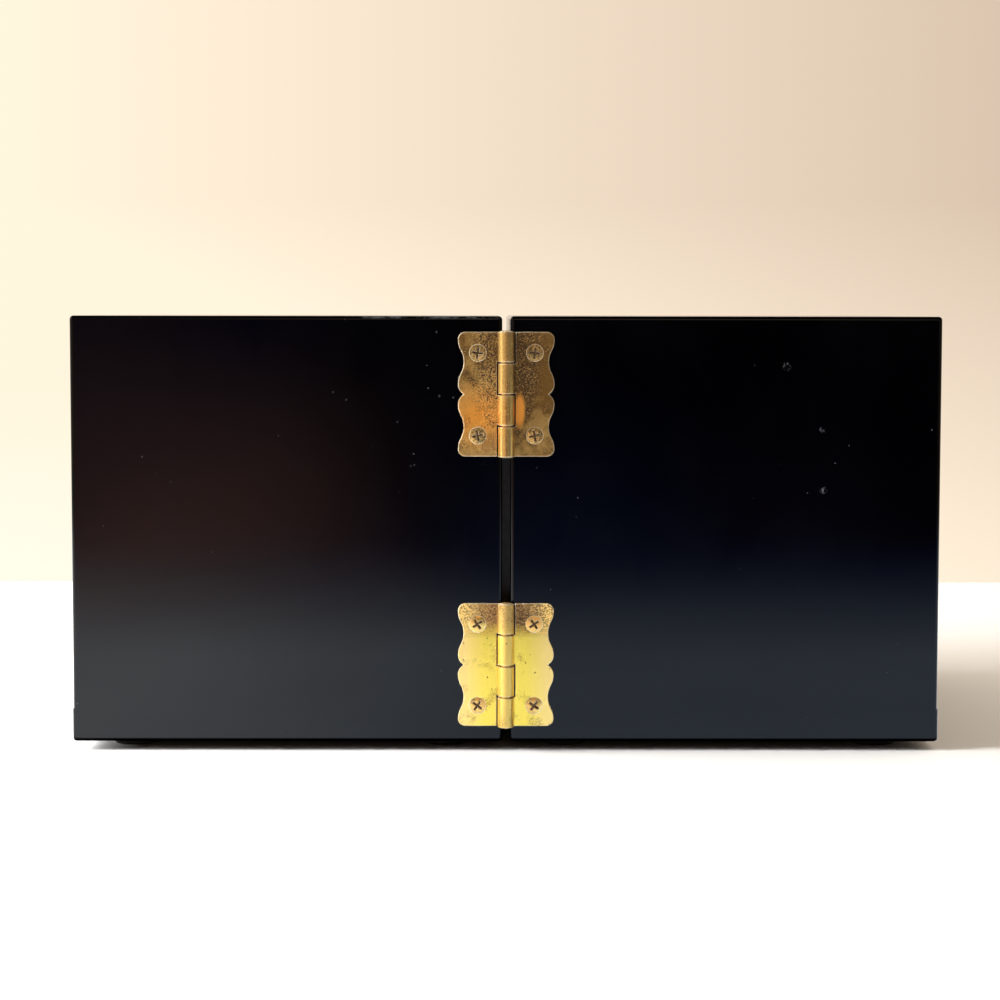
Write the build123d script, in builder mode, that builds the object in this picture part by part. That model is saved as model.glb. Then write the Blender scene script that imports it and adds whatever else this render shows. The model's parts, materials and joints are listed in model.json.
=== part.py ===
# A lacquered jewelry box in two halves that open like a book on a pair of scalloped brass hinges.
# Millimetres. +X to the right and +Y away from someone who faces the hinged back, +Z up.
# The origin is on the table, under the middle of the box.
import math
import os

from build123d import *

os.makedirs("parts", exist_ok=True)

# The two halves of the case
half_width = 138.0       # from the mating edge to the outer side
case_depth = 178.0       # from the hinged back to the clasp front
case_height = 137.0      # from the underside of the base boards to the top
wall = 7.5               # lacquered boards
base_thickness = 10.5    # the thicker base boards
base_proud = 0.3         # how far a base board stands out past the outer side
mating_gap = 2.6         # between the closed halves
edge_radius = 1.2        # rounding under the lacquer
glue_line = 0.04         # in the mitres and the drawer joints
foot_height = 3.0
foot_radius = 7.0
foot_inset = 18.0        # from a case corner to a foot's centre

# The lip that closes the gap, and the bumpers that set it
lip_thickness = 2.5
lip_hold = 15.0          # how far the lip is glued into the left half
lip_reach = 3.0          # how far it enters the right half
lip_fit = 0.3            # between the lip and the right half's walls
bumper_radius = 2.5
bumper_fit = 0.3         # between a bumper and the right half
bumper_from_end = 28.0   # from the base boards, and from the top, to a bumper

# Butt hinges of rolled brass sheet
sheet = 1.0
barrel_radius = 2.6
leaf_height = 39.8
leaf_reach = 15.4        # from the barrel's axis to the lobes
waist_reach = 13.6       # and to the waists and the notch between the lobes
leaf_corner = 2.4
lobe_height = 3.2        # from the leaf's middle to the crown of a lobe
waist_height = 10.3      # and to the middle of a waist
knuckle_count = 4
knuckle_gap = 0.5        # between two knuckles
roll_seam = 0.25         # between the end of a roll and its leaf
relief_fit = 0.35        # between a leaf and the other leaf's knuckles
pin_fit = 0.05           # between the pin and its knuckles
pin_head_radius = 2.3
pin_head_height = 0.5
hinge_from_top = 5.0     # from the top of the case to the upper leaves
hinge_from_base = 5.2    # from the bottom of the case to the lower leaves

# Cross-head screws
screw_radius = 1.2
screw_head_radius = 2.75
screw_cone = 0.9         # height of the countersunk head
screw_crown = 0.25       # its low dome
screw_in_wood = 6.0
screw_fit = 0.05
recess_width = 0.85
recess_span = 3.7
recess_depth = 0.55      # below the head's rim
recess_taper = 15        # degrees, the slope of its walls
first_turn = 35          # degrees, how the recesses stand
turn_step = 21
screw_from_axis = 9.1
screw_from_middle = 13.2
pilot_spare = 0.3        # how much deeper a pilot hole is than its screw

# Swing hook on the front
clasp_height = 92.0      # from the table to its pivot
clasp_plate = 0.8
plate_width = 12.0
plate_height = 24.0
plate_corner = 3.0
pivot_from_gap = 12.0    # from the middle of the gap to the pivot, and to the post
pivot_radius = 1.5
pivot_fit = 0.06
clasp_head_radius = 2.6
clasp_head = 1.0
arm_thickness = 1.4
arm_fit = 0.3            # between the arm and the plates, and under the heads
arm_width = 4.2
eye_radius = 3.2
notch_fit = 0.45         # between the arm's notch and the post
tail_length = 5.0        # the finger end past the post
pivot_in_wood = 4.0
plate_notch = 1.5        # radius of the two notches in a plate's sides
plate_screw_radius = 0.8
plate_screw_head = 1.6
plate_screw_in_wood = 4.0
plate_screw_from_middle = 8.5

# Drawers in the left half
drawer_names = ("bottom", "middle", "top")
shelf = 3.0
drawer_fit = 0.4         # around a drawer
front_thickness = 6.0
front_round = 0.6
side_thickness = 3.5
side_drop = 6.0          # the sides are this much lower than the front
bottom_thickness = 2.5
drawer_rear_gap = 1.0
lining = 1.2             # velvet on card
lining_fit = 0.2
knob_reach = 9.0
knob_radius = 5.0
knob_crown = 1.8         # height of the domed face
knob_rim = 0.9
knob_neck = 2.2
knob_neck_length = 2.6
knob_flange = 4.0
knob_flange_thickness = 0.8
knob_stem = 1.5
knob_stem_length = 5.0
roll_diameter = 13.0     # velvet ring rolls
roll_gap = 1.4           # between two rolls, where rings stand
roll_fit = 0.3
divider = 1.6            # thickness
divider_height = 18.0
divider_fit = 0.1

# Mirror and necklace rail in the right half
lining_start = 1.5       # from the lip's edge to the linings
mirror_margin = 14.0     # from the walls to the mirror's frame
frame_width = 7.0        # of its mitred strips
frame_depth = 3.6
mirror_thickness = 2.0
mirror_overlap = 1.8     # how much of the glass the frame covers
mirror_fit = 0.2
rail_width = 9.0
rail_height = 10.0
rail_from_side = 17.0    # from the outer side to the rail's middle
hook_count = 6
hook_wire = 1.8          # square brass wire
hook_drop = 7.0
hook_bend = 2.6
hook_in_rail = 5.0

# Places that follow from the sizes above
mate = mating_gap / 2
outer = mate + half_width
inner_side = outer - wall
base_top = foot_height + base_thickness
case_top = foot_height + case_height
roof = case_top - wall
arm_plane = clasp_plate + arm_fit
clasp_proud = arm_plane + arm_thickness + arm_fit + clasp_head
hinge_proud = 2 * barrel_radius
back = (hinge_proud - clasp_proud - case_depth) / 2
front = back + case_depth
back_inside = back + wall
front_inside = front - wall
axis_y = back - barrel_radius
pin_radius = barrel_radius - sheet - pin_fit
bay_back = back_inside + lip_thickness
bay_front = front_inside - lip_thickness
bay_bottom = base_top + lip_thickness
bay_top = roof - lip_thickness
bay_height = (bay_top - bay_bottom + shelf) / len(drawer_names) - shelf
cone_angle = 2 * math.degrees(math.atan((screw_head_radius - screw_radius) / screw_cone))
plate_cone = clasp_plate * screw_cone / sheet
plate_cone_angle = 2 * math.degrees(math.atan((plate_screw_head - plate_screw_radius) / plate_cone))

LEFT, RIGHT = -1, 1


def keep(name, piece):
    """Label a finished piece and write it."""
    piece.part.label = name
    export_step(piece.part, f"parts/{name}.step")


def rectangle(x_ends, y_ends, mode=Mode.ADD):
    """A rectangle between two pairs of coordinates, for the sketch that is open."""
    with Locations(((x_ends[0] + x_ends[1]) / 2, (y_ends[0] + y_ends[1]) / 2)):
        Rectangle(abs(x_ends[1] - x_ends[0]), abs(y_ends[1] - y_ends[0]), mode=mode)


def board(x_ends, y_ends, z_ends):
    """A squared board between six faces."""
    with BuildPart() as piece:
        with BuildSketch(Plane.XY.offset(z_ends[0])):
            rectangle(x_ends, y_ends)
        extrude(amount=z_ends[1] - z_ends[0])
    return piece


def together(pieces):
    """Several like pieces in one node, each its own solid."""
    with BuildPart() as node:
        for piece in pieces:
            add(piece.part)
    return node


def mitred_strips(y_ends, z_ends, thickness):
    """The four mitred outlines of a frame that stands in the YZ plane."""
    rim = [(y_ends[0], z_ends[0]), (y_ends[1], z_ends[0]), (y_ends[1], z_ends[1]), (y_ends[0], z_ends[1])]
    inner_y = (y_ends[0] + thickness, y_ends[1] - thickness)
    inner_z = (z_ends[0] + thickness, z_ends[1] - thickness)
    hole = [(inner_y[0], inner_z[0]), (inner_y[1], inner_z[0]),
            (inner_y[1], inner_z[1]), (inner_y[0], inner_z[1])]
    outlines = []
    for i, (dy, dz) in enumerate(((1, 0), (0, 1), (-1, 0), (0, -1))):
        dy, dz = dy * glue_line, dz * glue_line
        starts = [(y + dy, z + dz) for y, z in (rim[i], hole[i])]
        ends = [(y - dy, z - dz) for y, z in (rim[(i + 1) % 4], hole[(i + 1) % 4])]
        outlines.append((starts[0], ends[0], ends[1], starts[1]))
    return outlines


def carcass_block(side):
    """The outer form of one half above its base board, rounded on every free edge."""
    with BuildPart() as block:
        with BuildSketch(Plane.XY.offset(base_top)):
            rectangle((side * mate, side * outer), (back, front))
        extrude(amount=case_top - base_top)
        fillet(block.edges().filter_by(Axis.Z), radius=edge_radius)
        fillet(block.faces().sort_by(Axis.Z)[-1].edges(), radius=edge_radius)
    return block


def carcass_board(side, x_ends, y_ends, z_ends):
    """One board of a half, cut from its outer form."""
    block = carcass_block(side)
    with BuildPart() as piece:
        add(block.part)
        with BuildSketch(Plane.XY.offset(z_ends[0])):
            rectangle(x_ends, y_ends)
        extrude(amount=z_ends[1] - z_ends[0], mode=Mode.INTERSECT)
    return piece


def base_board(side):
    """The thicker base board, slightly proud of the outer side, with a rounded lower rim."""
    with BuildPart() as piece:
        with BuildSketch(Plane.XY.offset(foot_height)):
            rectangle((side * mate, side * (outer + base_proud)), (back, front))
        extrude(amount=base_thickness)
        fillet(piece.edges().filter_by(Axis.Z), radius=edge_radius)
        fillet(piece.faces().sort_by(Axis.Z)[0].edges(), radius=edge_radius)
    return piece


def feet(side):
    """Four felt feet under one half."""
    x_places = (side * (mate + foot_inset), side * (outer - foot_inset))
    y_places = (back + foot_inset, front - foot_inset)
    with BuildPart() as piece:
        with BuildSketch(Plane.XY):
            with Locations([(x, y) for x in x_places for y in y_places]):
                Circle(foot_radius)
        extrude(amount=foot_height)
    return piece


# Hinge places, counted from the lower hinge to the upper one
hinge_middles = {
    "lower": foot_height + hinge_from_base + leaf_height / 2,
    "upper": case_top - hinge_from_top - leaf_height / 2,
}
knuckle_pitch = (leaf_height + knuckle_gap) / knuckle_count
knuckle_length = knuckle_pitch - knuckle_gap


def knuckle_bottoms(middle, side):
    """Heights where one leaf's own knuckles start. The topmost knuckle is the left leaf's."""
    first = middle - leaf_height / 2
    odd = (knuckle_count - 1) % 2
    own = odd if side == LEFT else 1 - odd
    return [first + knuckle_pitch * i for i in range(knuckle_count) if i % 2 == own]


def screw_places(middle, side):
    """X and Z of the two screws of one leaf."""
    return [(side * screw_from_axis, middle + up * screw_from_middle) for up in (-1, 1)]


def hinge_leaf(middle, side):
    """A scalloped leaf whose knuckles are rolled from the same sheet."""
    top = leaf_height / 2
    crown = top - leaf_corner
    blend_reach = (leaf_reach + waist_reach) / 2
    lower_blend = (lobe_height + waist_height) / 2
    upper_blend = (waist_height + crown) / 2
    seam = (back - sheet - roll_seam, back - sheet)
    with BuildPart() as leaf:
        with BuildSketch(Plane((0, back, middle), x_dir=(side, 0, 0), z_dir=(0, -side, 0))):
            with BuildLine():
                for up in (1, -1):
                    TangentArc((leaf_reach, up * lobe_height), (waist_reach, 0), tangent=(0, -up))
                    TangentArc((leaf_reach, up * lobe_height), (blend_reach, up * lower_blend),
                               tangent=(0, up))
                    ThreePointArc((blend_reach, up * lower_blend), (waist_reach, up * waist_height),
                                  (blend_reach, up * upper_blend))
                    TangentArc((leaf_reach, up * crown), (blend_reach, up * upper_blend), tangent=(0, -up))
                    TangentArc((leaf_reach, up * crown), (leaf_reach - leaf_corner, up * top),
                               tangent=(0, up))
                    Line((leaf_reach - leaf_corner, up * top), (0, up * top))
                Line((0, top), (0, -top))
            make_face()
        extrude(amount=side * sheet)
        # Room for the other leaf's knuckles
        for bottom in knuckle_bottoms(middle, -side):
            with BuildSketch(Plane.XY.offset(bottom - knuckle_gap)):
                rectangle((0, side * (barrel_radius + relief_fit)), (back - sheet, back))
            extrude(amount=knuckle_length + 2 * knuckle_gap, mode=Mode.SUBTRACT)
        # Knuckles, each a roll of the sheet that ends just short of its leaf
        for bottom in knuckle_bottoms(middle, side):
            with BuildSketch(Plane.XY.offset(bottom)):
                with Locations((0, axis_y)):
                    Circle(barrel_radius)
                    Circle(pin_radius + pin_fit, mode=Mode.SUBTRACT)
                rectangle((0, side * barrel_radius), seam, mode=Mode.SUBTRACT)
            extrude(amount=knuckle_length)
        with Locations(*[Plane((x, back - sheet, z), x_dir=(1, 0, 0), z_dir=(0, -1, 0)).location
                         for x, z in screw_places(middle, side)]):
            CounterSinkHole(screw_radius + screw_fit, screw_head_radius + screw_fit, depth=sheet,
                            counter_sink_angle=cone_angle)
    return leaf


def hinge_pin(middle):
    """The pin, with a low peened head at each end."""
    end = leaf_height / 2 + pin_fit
    tip = leaf_height / 2 + pin_head_height
    with BuildPart() as pin:
        with BuildSketch(Plane((0, axis_y, middle), x_dir=(1, 0, 0), z_dir=(0, -1, 0))):
            with BuildLine():
                Line((0, -tip), (0, tip))
                for up in (1, -1):
                    TangentArc((0, up * tip), (pin_head_radius, up * end), tangent=(1, 0))
                    Line((pin_head_radius, up * end), (pin_radius, up * end))
                Line((pin_radius, end), (pin_radius, -end))
            make_face()
        revolve(axis=Axis((0, axis_y, 0), (0, 0, 1)))
    return pin


def cross_head_screw(seat, into, shank, head, cone, length, turn):
    """A countersunk screw. seat is the middle of its head's rim, and into (1 or -1) its way along Y."""
    crown = screw_crown * head / screw_head_radius
    arm = (recess_span * head / screw_head_radius, recess_width * head / screw_head_radius)
    with BuildPart() as screw:
        with BuildSketch(Plane(seat, x_dir=(1, 0, 0), z_dir=(0, 0, -into))):
            with BuildLine():
                Line((0, crown), (0, -length))
                Line((0, -length), (shank, -length + 2 * shank))
                Line((shank, -length + 2 * shank), (shank, -cone))
                Line((shank, -cone), (head, 0))
                TangentArc((0, crown), (head, 0), tangent=(1, 0))
            make_face()
        revolve(axis=Axis(seat, (0, into, 0)))
        with BuildSketch(Plane(seat, x_dir=(1, 0, 0), z_dir=(0, into, 0)).offset(-crown)):
            Rectangle(*arm, rotation=turn)
            Rectangle(*arm, rotation=turn + 90)
        depth = crown + recess_depth * head / screw_head_radius
        extrude(amount=depth, taper=recess_taper, mode=Mode.SUBTRACT)
    return screw


def hinge_screws(side):
    """The four screws that hold one half's two leaves, each stopped at its own turn."""
    screws = []
    for middle in hinge_middles.values():
        for x, z in screw_places(middle, side):
            turn = first_turn + turn_step * len(screws)
            screws.append(cross_head_screw((x, back - sheet, z), 1, screw_radius, screw_head_radius,
                                           screw_cone, sheet + screw_in_wood, turn))
    return together(screws)


def back_board(side):
    """The hinged board of a half, with pilot holes for the hinge screws."""
    plain = carcass_board(side, (side * mate, side * outer), (back, back_inside), (base_top, roof))
    with BuildPart() as piece:
        add(plain.part)
        places = [place for middle in hinge_middles.values() for place in screw_places(middle, side)]
        with Locations(*[Plane((x, back, z), x_dir=(1, 0, 0), z_dir=(0, -1, 0)).location for x, z in places]):
            Hole(screw_radius + screw_fit, depth=screw_in_wood + pilot_spare)
    return piece


def plate_screw_places(side):
    """X and Z of the two screws of one plate of the swing hook."""
    return [(side * pivot_from_gap, clasp_height + up * plate_screw_from_middle) for up in (-1, 1)]


def front_board(side):
    """The board that carries one plate of the swing hook."""
    plain = carcass_board(side, (side * mate, side * outer), (front_inside, front), (base_top, roof))
    with BuildPart() as piece:
        add(plain.part)
        with Locations(*[Plane((x, front, z), x_dir=(1, 0, 0), z_dir=(0, 1, 0)).location
                         for x, z in plate_screw_places(side)]):
            Hole(plate_screw_radius + screw_fit, depth=plate_screw_in_wood + pilot_spare)
        pivot_plane = Plane((side * pivot_from_gap, front, clasp_height), x_dir=(1, 0, 0), z_dir=(0, 1, 0))
        with Locations(pivot_plane.location):
            Hole(pivot_radius + pivot_fit, depth=pivot_in_wood + pilot_spare)
    return piece


def clasp_plate_piece(side):
    """A brass plate with a notch in each side, like the hinges."""
    face = Plane((side * pivot_from_gap, front, clasp_height), x_dir=(-1, 0, 0), z_dir=(0, 1, 0))
    with BuildPart() as plate:
        with BuildSketch(face):
            RectangleRounded(plate_width, plate_height, plate_corner)
            with Locations((plate_width / 2, 0), (-plate_width / 2, 0)):
                Circle(plate_notch, mode=Mode.SUBTRACT)
            Circle(pivot_radius + pivot_fit, mode=Mode.SUBTRACT)
        extrude(amount=clasp_plate)
        with Locations(*[Plane((x, front + clasp_plate, z), x_dir=(1, 0, 0), z_dir=(0, 1, 0)).location
                         for x, z in plate_screw_places(side)]):
            CounterSinkHole(plate_screw_radius + screw_fit, plate_screw_head + screw_fit, depth=clasp_plate,
                            counter_sink_angle=plate_cone_angle)
    return plate


def plate_screws(side):
    """The two small screws of one plate."""
    return together([cross_head_screw((x, front + clasp_plate, z), -1, plate_screw_radius, plate_screw_head,
                                      plate_cone, clasp_plate + plate_screw_in_wood, first_turn)
                     for x, z in plate_screw_places(side)])


def headed_post(side):
    """The pivot of the hook on the left, and the post that it drops over on the right."""
    under_head = clasp_proud - clasp_head
    lengthwise = Plane((side * pivot_from_gap, front, clasp_height), x_dir=(1, 0, 0), z_dir=(0, 0, -1))
    with BuildPart() as post:
        with BuildSketch(lengthwise):
            with BuildLine():
                Line((0, pivot_in_wood), (0, -clasp_proud))
                TangentArc((0, -clasp_proud), (clasp_head_radius, -under_head), tangent=(1, 0))
                Polyline((clasp_head_radius, -under_head), (pivot_radius, -under_head),
                         (pivot_radius, pivot_in_wood), (0, pivot_in_wood))
            make_face()
        revolve(axis=Axis((side * pivot_from_gap, front, clasp_height), (0, 1, 0)))
    return post


def swing_hook():
    """The hook where it hangs when it is let go, its notch on the left."""
    reach = 2 * pivot_from_gap
    notch = pivot_radius + notch_fit
    hook_end = notch + (eye_radius - pivot_radius)
    underside = Plane((-pivot_from_gap, front + arm_plane, clasp_height), x_dir=(-1, 0, 0), z_dir=(0, 1, 0))
    with BuildPart() as hook:
        with BuildSketch(underside):
            Circle(eye_radius)
            with Locations((0, -reach / 2)):
                Rectangle(arm_width, reach)
            with Locations((0, -reach)):
                Circle(hook_end)
            with Locations((0, -reach - hook_end / 2 - tail_length / 2)):
                SlotOverall(hook_end + tail_length, arm_width, rotation=90)
            Circle(pivot_radius + pivot_fit, mode=Mode.SUBTRACT)
            with Locations((0, -reach)):
                Circle(notch, mode=Mode.SUBTRACT)
            with Locations((hook_end, -reach)):
                Rectangle(2 * hook_end, 2 * notch, mode=Mode.SUBTRACT)
        extrude(amount=arm_thickness)
    return hook


def lip_strip(held, free):
    """One mitred strip of the lip: glued into the left half, then thinner where it enters the right."""
    with BuildPart() as strip:
        with BuildSketch(Plane.YZ.offset(-mate - lip_hold)):
            Polygon(*held, align=None)
        extrude(amount=lip_hold)
        with BuildSketch(Plane.YZ.offset(-mate)):
            Polygon(*free, align=None)
        extrude(amount=mating_gap + lip_reach)
    return strip


def lip_strips():
    """Four mitred strips that line the left half's mouth and stand into the right half's."""
    held = mitred_strips((back_inside, front_inside), (base_top, roof), lip_thickness)
    free = mitred_strips((back_inside + lip_fit, front_inside - lip_fit),
                         (base_top + lip_fit, roof - lip_fit), lip_thickness - lip_fit)
    return together([lip_strip(*outlines) for outlines in zip(held, free)])


def bumpers():
    """Two felt dots on the left front board that set the gap between the closed halves."""
    heights = (base_top + bumper_from_end, case_top - bumper_from_end)
    with BuildPart() as dots:
        with BuildSketch(Plane.YZ.offset(-mate)):
            with Locations([(front - wall / 2, height) for height in heights]):
                Circle(bumper_radius)
        extrude(amount=mating_gap - bumper_fit)
    return dots


# Drawer places along X, from the front's face back to the outer side
drawer_face = -mate
front_back = drawer_face - front_thickness
drawer_rear = -inner_side + drawer_rear_gap
rear_inside = drawer_rear + side_thickness
drawer_ends = (bay_back + drawer_fit, bay_front - drawer_fit)
drawer_inside = (drawer_ends[0] + side_thickness, drawer_ends[1] - side_thickness)


def bay_floor(level):
    """Height of the shelf under a drawer, counted from the bottom one."""
    return bay_bottom + level * (bay_height + shelf)


def lining_top(level):
    """Height of the velvet inside a drawer."""
    return bay_floor(level) + drawer_fit + bottom_thickness + lining


def drawer_front(level):
    """A lacquered front that fills its bay, with a blind hole for the knob's stem."""
    z_ends = (bay_floor(level) + drawer_fit, bay_floor(level) + bay_height - drawer_fit)
    with BuildPart() as piece:
        with BuildSketch(Plane.XY.offset(z_ends[0])):
            rectangle((front_back, drawer_face), drawer_ends)
        extrude(amount=z_ends[1] - z_ends[0])
        fillet(piece.faces().sort_by(Axis.X)[-1].edges(), radius=front_round)
        with Locations(Plane((drawer_face, 0, sum(z_ends) / 2), x_dir=(0, 1, 0), z_dir=(1, 0, 0)).location):
            with Locations((sum(drawer_ends) / 2, 0)):
                Hole(knob_stem + screw_fit, depth=knob_stem_length + screw_fit)
    return piece


def drawer_frame(level):
    """The two sides and the rear of a drawer."""
    z_ends = (bay_floor(level) + drawer_fit, bay_floor(level) + bay_height - side_drop)
    sides = [board((drawer_rear, front_back), y_ends, z_ends)
             for y_ends in ((drawer_ends[0], drawer_inside[0]), (drawer_inside[1], drawer_ends[1]))]
    rear_ends = (drawer_inside[0] + glue_line, drawer_inside[1] - glue_line)
    rear = board((drawer_rear, rear_inside), rear_ends, z_ends)
    return together(sides + [rear])


def drawer_bottom(level):
    """The thin board that the frame and the front hold all round."""
    low = bay_floor(level) + drawer_fit
    return board((rear_inside, front_back), drawer_inside, (low, low + bottom_thickness))


def drawer_lining(level):
    """Velvet on card, laid on the bottom."""
    x_ends = (rear_inside + lining_fit, front_back - lining_fit)
    y_ends = (drawer_inside[0] + lining_fit, drawer_inside[1] - lining_fit)
    return board(x_ends, y_ends, (lining_top(level) - lining, lining_top(level)))


def knob(level):
    """A turned brass knob: flange, tapered neck and domed head, with its stem in the front."""
    middle_y, middle_z = sum(drawer_ends) / 2, bay_floor(level) + bay_height / 2
    shoulder = knob_reach - knob_crown
    neck_end = knob_flange_thickness + knob_neck_length
    with BuildPart() as piece:
        with BuildSketch(Plane((drawer_face, middle_y, middle_z), x_dir=(1, 0, 0), z_dir=(0, -1, 0))):
            with BuildLine():
                Polyline((knob_reach, 0), (-knob_stem_length, 0), (-knob_stem_length, knob_stem),
                         (0, knob_stem), (0, knob_flange), (knob_flange_thickness, knob_flange),
                         (neck_end, knob_neck), (shoulder - knob_rim, knob_radius), (shoulder, knob_radius))
                TangentArc((knob_reach, 0), (shoulder, knob_radius), tangent=(0, 1))
            make_face()
        revolve(axis=Axis((drawer_face, middle_y, middle_z), (1, 0, 0)))
    return piece


def ring_roll(x, low):
    """One velvet roll across the top drawer."""
    y_ends = (drawer_inside[0] + roll_fit, drawer_inside[1] - roll_fit)
    with BuildPart() as roll:
        with BuildSketch(Plane((x, y_ends[0], low + roll_diameter / 2), x_dir=(-1, 0, 0), z_dir=(0, 1, 0))):
            Circle(roll_diameter / 2)
        extrude(amount=y_ends[1] - y_ends[0])
    return roll


def ring_rolls(level):
    """As many rolls as fit between the rear and the front, with gaps where the rings stand."""
    room = front_back - rear_inside - 2 * roll_fit
    pitch = roll_diameter + roll_gap
    count = int((room + roll_gap) / pitch)
    first = (front_back + rear_inside - (count - 1) * pitch) / 2
    low = lining_top(level) + roll_fit
    return together([ring_roll(first + pitch * i, low) for i in range(count)])


# Two dividers across the middle drawer, half-lapped with one that runs along its width
cross_ys = [drawer_inside[0] + (drawer_inside[1] - drawer_inside[0]) * part / 3 for part in (1, 2)]
long_x = (rear_inside + front_back) / 2
slot_half = divider / 2 + divider_fit


def long_divider(level):
    """The divider along the drawer's width, slotted from above."""
    low = lining_top(level)
    with BuildPart() as piece:
        with BuildSketch(Plane.YZ.offset(long_x - divider / 2)):
            rectangle((drawer_inside[0] + lining_fit, drawer_inside[1] - lining_fit),
                      (low, low + divider_height))
            for y in cross_ys:
                rectangle((y - slot_half, y + slot_half), (low + divider_height / 2, low + divider_height),
                          mode=Mode.SUBTRACT)
        extrude(amount=divider)
    return piece


def cross_divider(level, y):
    """A divider along the drawer's length, slotted from below."""
    low = lining_top(level)
    with BuildPart() as piece:
        with BuildSketch(Plane.XZ.offset(-y - divider / 2)):
            rectangle((rear_inside + lining_fit, front_back - lining_fit), (low, low + divider_height))
            rectangle((long_x - slot_half, long_x + slot_half), (low, low + divider_height / 2),
                      mode=Mode.SUBTRACT)
        extrude(amount=divider)
    return piece


# The right half's inside
lining_x = mate + lip_reach + lining_start
card_face = inner_side - lining
glass_back = card_face - mirror_fit / 2
glass_front = glass_back - mirror_thickness
frame_y = (back_inside + lining + mirror_margin, front_inside - lining - mirror_margin)
frame_z = (base_top + lining + mirror_margin, roof - mirror_margin)
rail_x = inner_side - rail_from_side


def frame_strip(bed, face):
    """One mitred strip of the mirror's frame, rebated behind for the glass."""
    with BuildPart() as strip:
        with BuildSketch(Plane.YZ.offset(glass_front - mirror_fit / 2)):
            Polygon(*bed, align=None)
        extrude(amount=mirror_thickness + mirror_fit)
        with BuildSketch(Plane.YZ.offset(card_face - frame_depth)):
            Polygon(*face, align=None)
        extrude(amount=frame_depth - mirror_thickness - mirror_fit)
    return strip


def mirror_frame():
    """Four mitred strips round the mirror."""
    beds = mitred_strips(frame_y, frame_z, frame_width - mirror_overlap)
    faces = mitred_strips(frame_y, frame_z, frame_width)
    return together([frame_strip(*outlines) for outlines in zip(beds, faces)])


def mirror_glass():
    """The glass, held behind the frame's rebate."""
    inset = frame_width - mirror_overlap + mirror_fit
    return board((glass_front, glass_back), (frame_y[0] + inset, frame_y[1] - inset),
                 (frame_z[0] + inset, frame_z[1] - inset))


rail_ends = (back_inside + lining, front_inside - lining)
hook_pitch = (rail_ends[1] - rail_ends[0]) / hook_count
hook_ys = [rail_ends[0] + hook_pitch * (i + 0.5) for i in range(hook_count)]
rail_under = roof - rail_height


def necklace_rail():
    """The wooden rail under the roof, with a square hole for each hook."""
    with BuildPart() as rail:
        with BuildSketch(Plane.XY.offset(rail_under)):
            rectangle((rail_x - rail_width / 2, rail_x + rail_width / 2), rail_ends)
        extrude(amount=rail_height)
        with BuildSketch(Plane.XY.offset(rail_under)):
            with Locations([(rail_x, y) for y in hook_ys]):
                Rectangle(hook_wire + 2 * screw_fit, hook_wire + 2 * screw_fit)
        extrude(amount=hook_in_rail + screw_fit, mode=Mode.SUBTRACT)
    return rail


def necklace_hook(y):
    """A wire hook that opens towards the box's mouth."""
    stem_end = rail_under - hook_drop
    with BuildPart() as hook:
        with BuildLine(Plane.XZ.offset(-y)):
            Line((rail_x, rail_under + hook_in_rail), (rail_x, stem_end))
            ThreePointArc((rail_x, stem_end), (rail_x - hook_bend, stem_end - hook_bend),
                          (rail_x - 2 * hook_bend, stem_end))
            Line((rail_x - 2 * hook_bend, stem_end), (rail_x - 2 * hook_bend, stem_end + hook_wire))
        with BuildSketch(Plane((rail_x, y, rail_under + hook_in_rail), x_dir=(1, 0, 0), z_dir=(0, 0, -1))):
            Rectangle(hook_wire, hook_wire)
        sweep()
    return hook


for side, half in ((LEFT, "left"), (RIGHT, "right")):
    x_ends = (side * mate, side * outer)
    keep(f"{half}_back_board", back_board(side))
    keep(f"{half}_front_board", front_board(side))
    side_ends = (side * inner_side, side * outer)
    keep(f"{half}_side_board", carcass_board(side, side_ends, (back_inside, front_inside), (base_top, roof)))
    keep(f"{half}_top_board", carcass_board(side, x_ends, (back, front), (roof, case_top)))
    keep(f"{half}_base_board", base_board(side))
    keep(f"{half}_feet", feet(side))
    keep(f"{half}_hinge_screws", hinge_screws(side))
    for place, middle in hinge_middles.items():
        keep(f"{place}_hinge_{half}_leaf", hinge_leaf(middle, side))

for place, middle in hinge_middles.items():
    keep(f"{place}_hinge_pin", hinge_pin(middle))

for side, plate in ((LEFT, "hook"), (RIGHT, "catch")):
    keep(f"{plate}_plate", clasp_plate_piece(side))
    keep(f"{plate}_plate_screws", plate_screws(side))
keep("hook_pivot", headed_post(LEFT))
keep("catch_post", headed_post(RIGHT))
keep("swing_hook", swing_hook())

keep("closing_lip", lip_strips())
keep("closing_bumpers", bumpers())

# The drawer case: guides along the back and front, a floor and the shelves between them
x_inner = (-inner_side, -mate - lip_hold)
keep("drawer_guides", together([board(x_inner, y_ends, (base_top, roof))
                                for y_ends in ((back_inside, bay_back), (bay_front, front_inside))]))
keep("drawer_floor", board(x_inner, (bay_back, bay_front), (base_top, bay_bottom)))
keep("drawer_shelves", together([board((-inner_side, front_back), (bay_back, bay_front),
                                       (bay_floor(level) - shelf, bay_floor(level)))
                                 for level in range(1, len(drawer_names))]))

for level, name in enumerate(drawer_names):
    keep(f"{name}_drawer_front", drawer_front(level))
    keep(f"{name}_drawer_frame", drawer_frame(level))
    keep(f"{name}_drawer_bottom", drawer_bottom(level))
    keep(f"{name}_drawer_lining", drawer_lining(level))
    keep(f"{name}_drawer_knob", knob(level))

keep("ring_rolls", ring_rolls(drawer_names.index("top")))
keep("long_divider", long_divider(drawer_names.index("middle")))
keep("cross_dividers", together([cross_divider(drawer_names.index("middle"), y) for y in cross_ys]))

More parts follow.
